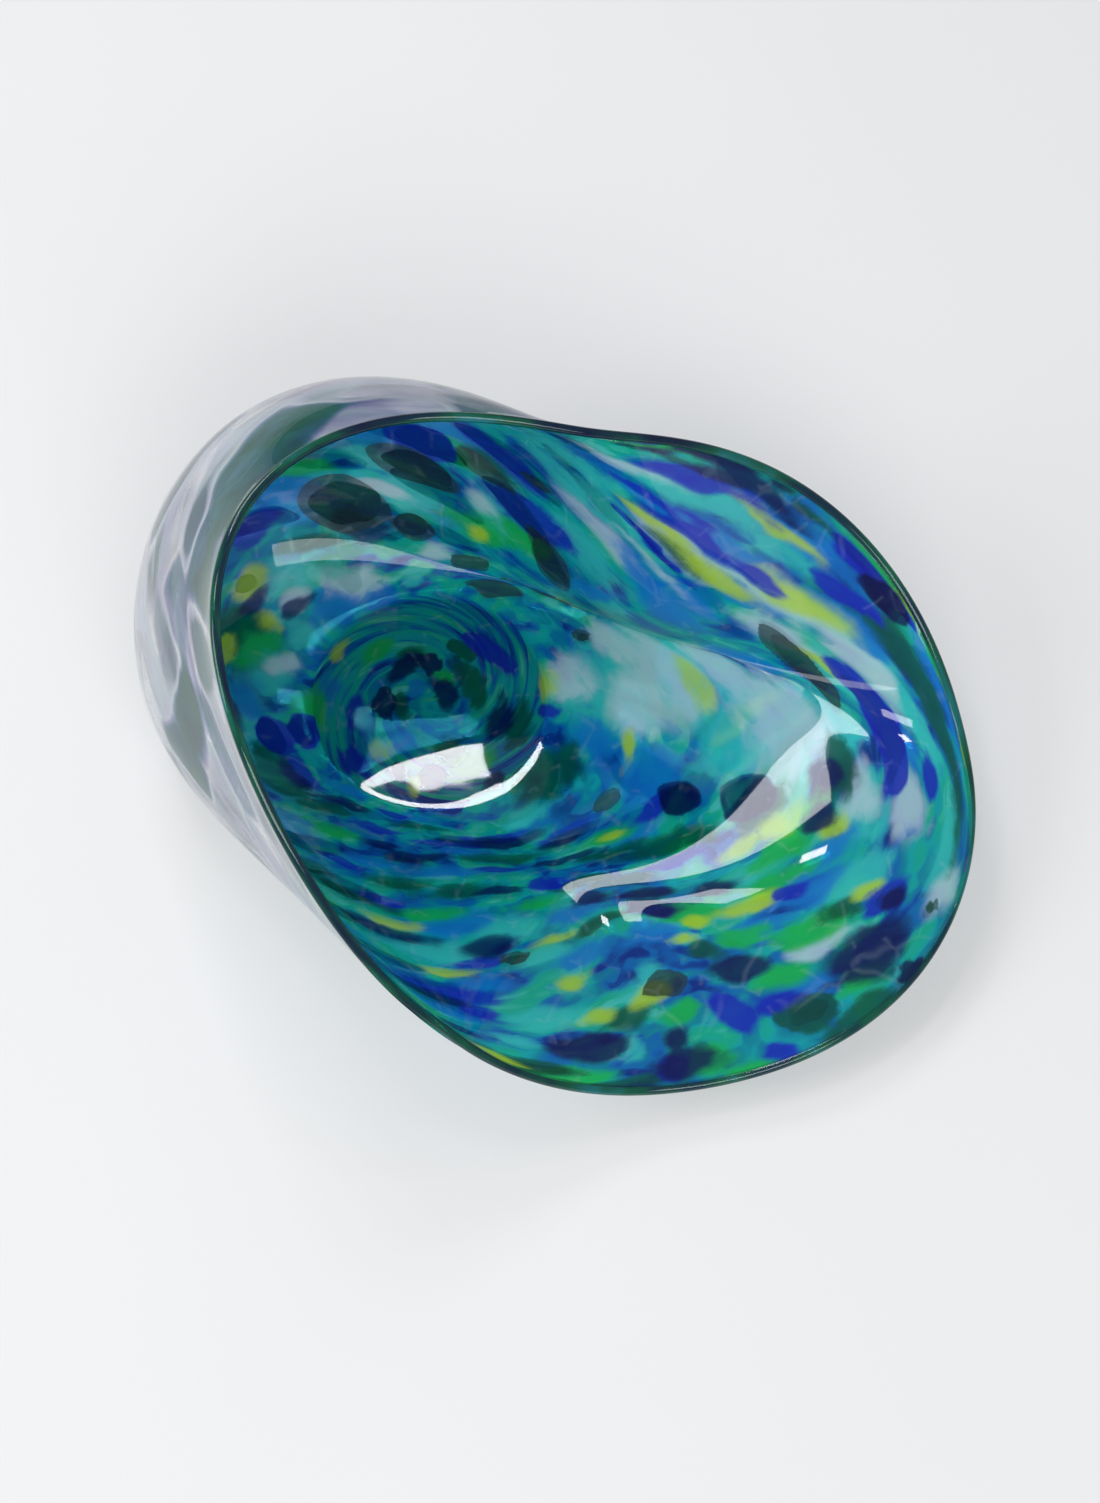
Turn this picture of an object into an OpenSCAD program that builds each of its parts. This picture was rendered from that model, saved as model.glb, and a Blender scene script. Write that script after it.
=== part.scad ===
// Free-form art glass vase, blown, cased and swung open at the mouth.
// The wall is a clear inner gather, a turquoise colour coat, chips of coloured frit
// and a clear outer casing. It stands on a flat polished foot pad, and its rim is
// fire-polished into a round bead.
// Millimetres, +Z up, origin at the centre of the foot's resting face.
// Directions round the vase are angles from +X, turning towards +Y.

/* [Foot] */
// Radius of the foot pad
foot_r = 44; // [38:1:48]
// Height of the foot pad
foot_h = 6; // [4:0.5:9]
// Round on the foot pad's lower edge
foot_round = 2; // [1:0.25:3]

/* [Mouth outline] */
// Centre of the mouth along X, ahead of the foot
mouth_x = 64; // [56:1:72]
// Centre of the mouth along Y
mouth_y = -49; // [-57:1:-41]
// Mean radius of the mouth
mouth_r = 114.5; // [106:0.5:124]
// How much the mouth is stretched into an oval
mouth_oval = 14; // [6:0.5:16]
// How much the mouth is drawn into a pear shape
mouth_pear = 4; // [0:0.5:6]
// How much the mouth's sides are flattened
mouth_square = 3; // [0:0.5:4]

/* [Rim height] */
// Mean height of the rim
rim_mean = 77; // [75:0.5:86]
// Rise of the rim at the back left, and fall at the front right
rim_tilt = 71.5; // [56:0.5:72]
// Lift of the rim at the two ends of the mouth
rim_saddle = 7.5; // [3:0.5:10]
// Three-fold wave of the rim
rim_wave = 7.5; // [2:0.5:8]

/* [Wall sweep] */
// How far the wall runs out from the foot before it climbs
heel_reach = 58; // [52:1:64]
// Extra reach of the heel under the bulb
heel_bulge = 19; // [12:1:22]
// Extra reach of the heel along the vase
heel_spread = 26; // [18:1:30]
// Bulge of the shoulder on the bulb side, and lean-in on the lip side
shoulder_bulge = 51.5; // [44:0.5:58]
// How far the shoulder sits below the rim on the bulb side, above it on the lip side
shoulder_drop = 41.5; // [36:0.5:46]

/* [Glass] */
// Thickness of the wall at the foot
wall_foot = 4.4; // [3.8:0.1:5.2]
// Thickness of the wall at the rim
wall_rim = 2.9; // [2.4:0.1:3.4]
// Radius of the fire-polished bead on the rim
bead_r = 1.8; // [1.4:0.1:2.2]

/* [Frit] */
// Turn of the chips from foot to rim, as the gather was twisted
swirl = 70; // [0:5:120]
// Share of its cell that a chip fills
chip_fill = 0.86; // [0.6:0.01:0.88]

/* [Hidden] */

// Directions, in degrees, that the mouth, the rim and the wall lean to
oval_at = 1;
pear_at = 36;
square_at = -33;
tilt_at = 137.5;
saddle_at = -7;
wave_at = 74;
bulb_at = 151;
drop_at = 121;

// How far the shoulder stands out from the rim and hangs below it, on average
shoulder_reach = -21;
shoulder_fall = 20.5;

// Waves round the heel and the shoulder: [lobes, height, direction of its crest]
heel_waves = [[1, heel_bulge, bulb_at], [2, heel_spread, -13], [3, 12, -63]];
reach_waves = [[1, shoulder_bulge, bulb_at], [2, 20.5, -32], [3, 35, 2]];
drop_waves = [[1, shoulder_drop, drop_at], [2, 24, 43], [3, 21, 61]];

// Radius of the wall's flat floor, where its curve begins
floor_r = foot_r - 2;

// Facets round the mouth and up the wall
turns = 60;
rises = 14;
floor_rings = 2;
bead_sides = 8;

// Depths of the layers, measured in from the outer face, as shares of the wall
casing_in = 0.27;
frit_out = 0.34;
frit_in = 0.50;
coat_out = 0.57;
coat_in = 0.67;
gather_out = 0.72;
pearl_out = -0.14;
pearl_in = -0.04;

// A value that waves round the vase: each wave is [lobes, height, direction of its crest]
function waves(angle, mean, list) =
    mean + [for (w = list) w[1] * cos(w[0] * (angle - w[2]))] * [for (w = list) 1];

function unit(v) = v / norm(v);
function outward(angle) = [cos(angle), sin(angle), 0];

// Outer edge of the rim, seen from the mouth's centre
function rim_point(angle) =
    let (r = waves(angle, mouth_r,
                   [[2, mouth_oval, oval_at], [3, mouth_pear, pear_at], [4, mouth_square, square_at]]),
         z = waves(angle, rim_mean,
                   [[1, rim_tilt, tilt_at], [2, rim_saddle, saddle_at], [3, rim_wave, wave_at]]))
    [mouth_x + r * cos(angle), mouth_y + r * sin(angle), z];

// The four points that shape the wall in one direction: foot, heel, shoulder and rim
function wall_frame(angle) =
    let (heel = waves(angle, heel_reach, heel_waves),
         reach = waves(angle, shoulder_reach, reach_waves),
         drop = waves(angle, shoulder_fall, drop_waves),
         edge = rim_point(angle))
    [floor_r * outward(angle) + [0, 0, foot_h],
     (floor_r + heel) * outward(angle) + [0, 0, foot_h + 1],
     edge + reach * outward(angle) - [0, 0, drop],
     edge];

function bezier(p, t) =
    pow(1 - t, 3) * p[0] + 3 * pow(1 - t, 2) * t * p[1] + 3 * (1 - t) * t * t * p[2] + pow(t, 3) * p[3];

// Outer face of the wall. rise runs from -1 at the floor's centre, through 0 at the
// foot's edge, to 1 at the rim.
function skin(angle, rise) =
    rise < 0 ? floor_r * (1 + rise) * outward(angle) + [0, 0, foot_h]
             : bezier(wall_frame(angle), rise);

// Direction up the wall, and the way in from its outer face
function climb(angle, rise) = unit(skin(angle, rise) - skin(angle, rise - 0.01));
function inward(angle, rise) =
    rise < 0 ? [0, 0, 1]
             : unit(cross(climb(angle, rise), skin(angle + 1, rise) - skin(angle - 1, rise)));

function wall_at(rise) = wall_foot + (wall_rim - wall_foot) * max(rise, 0);

// A point inside the wall, at a share of its depth
function within(angle, rise, depth) =
    skin(angle, rise) + depth * wall_at(rise) * inward(angle, rise);

// The layers stop short of the rim, where the bead takes over
function layer_end(angle, depth) =
    within(angle, 1, depth) - (2 * bead_r + 0.15) * climb(angle, 1);

ring_rises = concat([for (k = [1 : floor_rings]) k / (floor_rings + 1) - 1],
                    [for (k = [0 : rises - 1]) k / rises]);
rings = len(ring_rises) + 1;

// One face of a layer: its centre point, then ring after ring out to the rim
function layer_face(depth) =
    concat([within(0, -1, depth)],
           [for (rise = ring_rises, k = [0 : turns - 1]) within(k * 360 / turns, rise, depth)],
           [for (k = [0 : turns - 1]) layer_end(k * 360 / turns, depth)]);

// A closed layer of the wall, between two depths
module layer(depth_out, depth_in) {
    face = 1 + rings * turns;
    function at(side, ring, k) = side * face + 1 + ring * turns + k % turns;
    polyhedron(
        points = concat(layer_face(depth_out), layer_face(depth_in)),
        faces = concat(
            [for (k = [0 : turns - 1]) [0, at(0, 0, k), at(0, 0, k + 1)]],
            [for (k = [0 : turns - 1]) [face, at(1, 0, k + 1), at(1, 0, k)]],
            [for (ring = [0 : rings - 2], k = [0 : turns - 1], half = [0, 1])
                half == 0 ? [at(0, ring, k), at(0, ring + 1, k), at(0, ring + 1, k + 1)]
                          : [at(0, ring, k), at(0, ring + 1, k + 1), at(0, ring, k + 1)]],
            [for (ring = [0 : rings - 2], k = [0 : turns - 1], half = [0, 1])
                half == 0 ? [at(1, ring, k), at(1, ring + 1, k + 1), at(1, ring + 1, k)]
                          : [at(1, ring, k), at(1, ring, k + 1), at(1, ring + 1, k + 1)]],
            [for (k = [0 : turns - 1], half = [0, 1])
                half == 0 ? [at(0, rings - 1, k), at(1, rings - 1, k), at(1, rings - 1, k + 1)]
                          : [at(0, rings - 1, k), at(1, rings - 1, k + 1), at(0, rings - 1, k + 1)]]),
        convexity = 6);
}

module foot_pad() {
    color([0.80, 0.92, 0.92, 0.5])
    rotate_extrude($fn = 96)
    union() {
        square([foot_r - foot_round, foot_h]);
        translate([0, foot_round]) square([foot_r, foot_h - foot_round]);
        translate([foot_r - foot_round, foot_round]) circle(r = foot_round, $fn = 32);
    }
}

module outer_casing() {
    color([0.82, 0.94, 0.95, 0.4]) layer(0, casing_in);
}

module colour_coat() {
    color([0.10, 0.62, 0.66, 0.8]) layer(coat_out, coat_in);
}

module inner_gather() {
    color([0.85, 0.95, 0.96, 0.4]) layer(gather_out, 1);
}

// The bead: a round section carried round the rim, just past the layers' edges
module lip_bead() {
    stations = 72;
    function section(k) =
        let (angle = k * 360 / stations,
             up = climb(angle, 1),
             side = inward(angle, 1),
             centre = rim_point(angle) - bead_r * up + 0.5 * wall_rim * side)
        [for (j = [0 : bead_sides - 1])
            centre + bead_r * (cos(j * 360 / bead_sides) * up + sin(j * 360 / bead_sides) * side)];
    function at(k, j) = (k % stations) * bead_sides + j % bead_sides;
    color([0.03, 0.20, 0.30])
    polyhedron(
        points = [for (k = [0 : stations - 1]) each section(k)],
        faces = [for (k = [0 : stations - 1], j = [0 : bead_sides - 1], half = [0, 1])
            half == 0 ? [at(k, j), at(k, j + 1), at(k + 1, j + 1)]
                      : [at(k, j), at(k + 1, j + 1), at(k + 1, j)]],
        convexity = 6);
}

// Frit is laid out in rows: [rise of the row, half its height, number of chips]
floor_rows = [[-0.66, 0.17, 7], [-0.24, 0.17, 12]];
wall_rows = [for (k = [0 : 8]) [0.08 + k * 0.105, 0.05, 15 + 2 * k]];
frit_rows = concat(floor_rows, wall_rows);
chip_sides = 7;

// A fixed scatter between 0 and 1 for each whole number
function scatter(n) = let (v = 437.585 * sin(n * 127.1 + 31.7)) v - floor(v);

// One flat chip of glass that follows the wall. drift slants it along the swirl.
module chip(angle, rise, half_angle, half_rise, depth_out, depth_in, seed) {
    function corner(j, depth, size) =
        let (turn = (j + 0.5 * scatter(seed + j)) * 360 / chip_sides,
             grow = size * (0.78 + 0.22 * scatter(seed + j + 50)),
             up = grow * sin(turn) * half_rise,
             drift = 0.5 * half_angle * up / half_rise)
        within(angle + grow * cos(turn) * half_angle + drift * (1 - grow * abs(cos(turn))),
               rise + up, depth);
    function loop(depth, size) = [for (j = [0 : chip_sides - 1]) corner(j, depth, size)];
    polyhedron(
        points = concat(loop(depth_out, 0.9), loop(depth_in, 1),
                        [within(angle, rise, depth_out)], [within(angle, rise, depth_in)]),
        faces = concat(
            [for (j = [0 : chip_sides - 1]) [2 * chip_sides, (j + 1) % chip_sides, j]],
            [for (j = [0 : chip_sides - 1])
                [2 * chip_sides + 1, chip_sides + j, chip_sides + (j + 1) % chip_sides]],
            [for (j = [0 : chip_sides - 1]) [j, (j + 1) % chip_sides, chip_sides + (j + 1) % chip_sides]],
            [for (j = [0 : chip_sides - 1]) [j, chip_sides + (j + 1) % chip_sides, chip_sides + j]]));
}

// Which glass a chip is: dark chips crowd the swirl's centre, and paler ones open out
FRITS = ["navy", "cobalt", "emerald", "lime", "smoke", "mint"];
centre_mix = [0.40, 0.62, 0.84, 0.90, 0.96, 1];
wall_mix = [0.15, 0.40, 0.62, 0.78, 0.87, 1];
function chip_kind(rise, seed) =
    let (mix = rise < 0.1 ? centre_mix : wall_mix, draw = scatter(seed * 7 + 3))
    [for (k = [0 : len(mix) - 1]) if (draw <= mix[k]) FRITS[k]][0];

// All the chips of one glass, in the layer between the coat and the casing
module frit(kind) {
    for (row = [0 : len(frit_rows) - 1])
        for (k = [0 : frit_rows[row][2] - 1]) {
            rise = frit_rows[row][0];
            count = frit_rows[row][2];
            seed = 40 * row + k;
            if (chip_kind(rise, seed) == kind)
                chip((k + 0.5 * (row % 2)) * 360 / count - swirl * rise, rise,
                     chip_fill * 180 / count, chip_fill * frit_rows[row][1], frit_out, frit_in, seed);
        }
}

module navy_frit() {
    color([0.02, 0.05, 0.22]) frit("navy");
}

module cobalt_frit() {
    color([0.05, 0.10, 0.62]) frit("cobalt");
}

module emerald_frit() {
    color([0.02, 0.36, 0.22]) frit("emerald");
}

module lime_frit() {
    color([0.60, 0.82, 0.22]) frit("lime");
}

module smoke_frit() {
    color([0.32, 0.40, 0.38]) frit("smoke");
}

module mint_frit() {
    color([0.72, 0.90, 0.84]) frit("mint");
}

// Pearly lustre chips pressed flush into the outside of the bulb
module pearl_frit() {
    color([0.86, 0.85, 0.92])
    for (row = [0 : 4])
        for (k = [0 : 6]) {
            seed = 700 + 10 * row + k;
            chip(96 + 22 * k + 7 * (row % 2), 0.24 + 0.155 * row, 9 * chip_fill, 0.07 * chip_fill,
                 pearl_out, pearl_in, seed);
        }
}

foot_pad();
outer_casing();
colour_coat();
inner_gather();
lip_bead();
navy_frit();
cobalt_frit();
emerald_frit();
lime_frit();
smoke_frit();
mint_frit();
pearl_frit();
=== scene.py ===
"""Looks of a free-form blown glass vase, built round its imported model.

The wall, bead, foot and chips of frit are surfaces worked out from the same driving sizes as
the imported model: a rim that waves round the mouth, and a cubic curve from the foot up to it in
every direction. Lengths are metres, +Z is up, and the origin is the centre of the foot.
A place on the wall is an angle round it in degrees and a rise: -1 at the floor's centre, 0 at
the foot's edge, 1 at the rim.
"""
import math

import bpy
import numpy as np
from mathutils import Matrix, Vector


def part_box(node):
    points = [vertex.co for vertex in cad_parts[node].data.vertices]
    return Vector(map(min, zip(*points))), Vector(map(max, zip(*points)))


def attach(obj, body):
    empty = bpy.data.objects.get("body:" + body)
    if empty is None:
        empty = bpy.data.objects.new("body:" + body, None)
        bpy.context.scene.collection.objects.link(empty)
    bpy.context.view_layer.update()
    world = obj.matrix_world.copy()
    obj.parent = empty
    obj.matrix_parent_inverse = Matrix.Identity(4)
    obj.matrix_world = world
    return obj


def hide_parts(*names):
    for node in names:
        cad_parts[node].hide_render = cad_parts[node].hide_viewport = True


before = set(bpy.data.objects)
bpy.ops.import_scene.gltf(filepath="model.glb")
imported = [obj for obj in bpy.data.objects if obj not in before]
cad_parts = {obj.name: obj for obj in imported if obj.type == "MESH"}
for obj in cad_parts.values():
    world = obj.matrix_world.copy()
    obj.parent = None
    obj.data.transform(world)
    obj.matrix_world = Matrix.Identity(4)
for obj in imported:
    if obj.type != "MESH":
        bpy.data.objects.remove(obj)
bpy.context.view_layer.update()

MM = 0.001
UP = np.array([0, 0, 1.0])

FOOT_LOW, FOOT_HIGH = (np.array(corner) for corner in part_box("foot_pad"))
FOOT_R = (FOOT_HIGH[0] - FOOT_LOW[0]) / 2
FOOT_H = FOOT_HIGH[2]
FOOT_ROUND = 2.4 * MM
FLOOR_MARGIN = 2 * MM
FLOOR_R = FOOT_R - FLOOR_MARGIN
WALL_FOOT = 4.4 * MM
WALL_RIM = 2.9 * MM
BEAD_R = 1.8 * MM

# Centre of the mouth, to the right of the foot and in front of it
MOUTH = (64 * MM, -49 * MM)
# How high the first handle of the wall's curve stands over the floor
HEEL_LIFT = 1 * MM
# The wall's driving sizes, in millimetres: each a mean and its waves round the vase. A wave is its
# number of lobes, its height and the direction of its crest in degrees.
MOUTH_R = (114.5, (2, 14, 1), (3, 4, 36), (4, 3, -33))
RIM_Z = (77, (1, 71.5, 137.5), (2, 7.5, -7), (3, 7.5, 74))
HEEL_REACH = (58, (1, 19, 151), (2, 26, -13), (3, 12, -63))
SHOULDER_REACH = (-21, (1, 51.5, 151), (2, 20.5, -32), (3, 35, 2))
SHOULDER_FALL = (20.5, (1, 41.5, 121), (2, 24, 43), (3, 21, 61))

# Steps of rise and of angle over which the wall's slopes are taken
RISE_STEP = 0.01
TURN_STEP = 0.5

# ---------------------------------------------------------------- the wall's shape


def waves(angle, mean, *parts):
    """A mean with waves round the vase: each part is lobes, height and its crest's direction."""
    total = np.full(np.shape(angle), float(mean))
    for lobes, height, crest in parts:
        total = total + height * np.cos(np.radians(lobes * (angle - crest)))
    return total


def outward(angle):
    """The level direction at an angle."""
    turn = np.radians(angle)
    return np.stack([np.cos(turn), np.sin(turn), np.zeros_like(turn)], -1)


def rim_edge(angle):
    """Outer edge of the rim: an oval round the mouth's centre that rises and falls on its way."""
    r = waves(angle, *MOUTH_R) * MM
    z = waves(angle, *RIM_Z) * MM
    centre = np.stack([np.full_like(z, MOUTH[0]), np.full_like(z, MOUTH[1]), z], -1)
    return r[..., None] * outward(angle) + centre


def skin(angle, rise):
    """Outer face: flat up to rise 0, then a cubic curve from foot to heel, shoulder and rim."""
    angle, rise = np.broadcast_arrays(np.asarray(angle, float), np.asarray(rise, float))
    out = outward(angle)
    heel = waves(angle, *HEEL_REACH) * MM
    reach = waves(angle, *SHOULDER_REACH) * MM
    drop = waves(angle, *SHOULDER_FALL) * MM
    edge = rim_edge(angle)
    foot = FLOOR_R * out + FOOT_H * UP
    low = (FLOOR_R + heel)[..., None] * out + (FOOT_H + HEEL_LIFT) * UP
    high = edge + reach[..., None] * out - drop[..., None] * UP
    t = np.maximum(rise, 0)[..., None]
    below = (1 - t) ** 3 * foot + 3 * (1 - t) ** 2 * t * low
    above = 3 * (1 - t) * t * t * high + t ** 3 * edge
    floor = (FLOOR_R * (1 + np.minimum(rise, 0)))[..., None] * out + FOOT_H * UP
    return np.where(rise[..., None] < 0, floor, below + above)


def unit(v):
    """Vectors scaled to length one."""
    return v / np.linalg.norm(v, axis=-1, keepdims=True)


def climb(angle, rise):
    """The way up the wall along its curve."""
    return unit(skin(angle, rise) - skin(angle, np.asarray(rise) - RISE_STEP))


def inward(angle, rise):
    """The way through the wall, from its outer face to its inner one."""
    angle, rise = np.broadcast_arrays(np.asarray(angle, float), np.asarray(rise, float))
    wall = np.maximum(rise, 0)
    along = skin(angle + TURN_STEP, wall) - skin(angle - TURN_STEP, wall)
    return np.where(rise[..., None] < 0, UP, unit(np.cross(climb(angle, wall), along)))


def thickness(rise):
    """The wall thins evenly from the foot to the rim."""
    return WALL_FOOT + (WALL_RIM - WALL_FOOT) * np.maximum(rise, 0)


def within(angle, rise, depth):
    """A point in the glass, at a share of the wall's depth from its outer face."""
    return skin(angle, rise) + (depth * thickness(rise))[..., None] * inward(angle, rise)


# ---------------------------------------------------------------- frit laid on the wall

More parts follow.
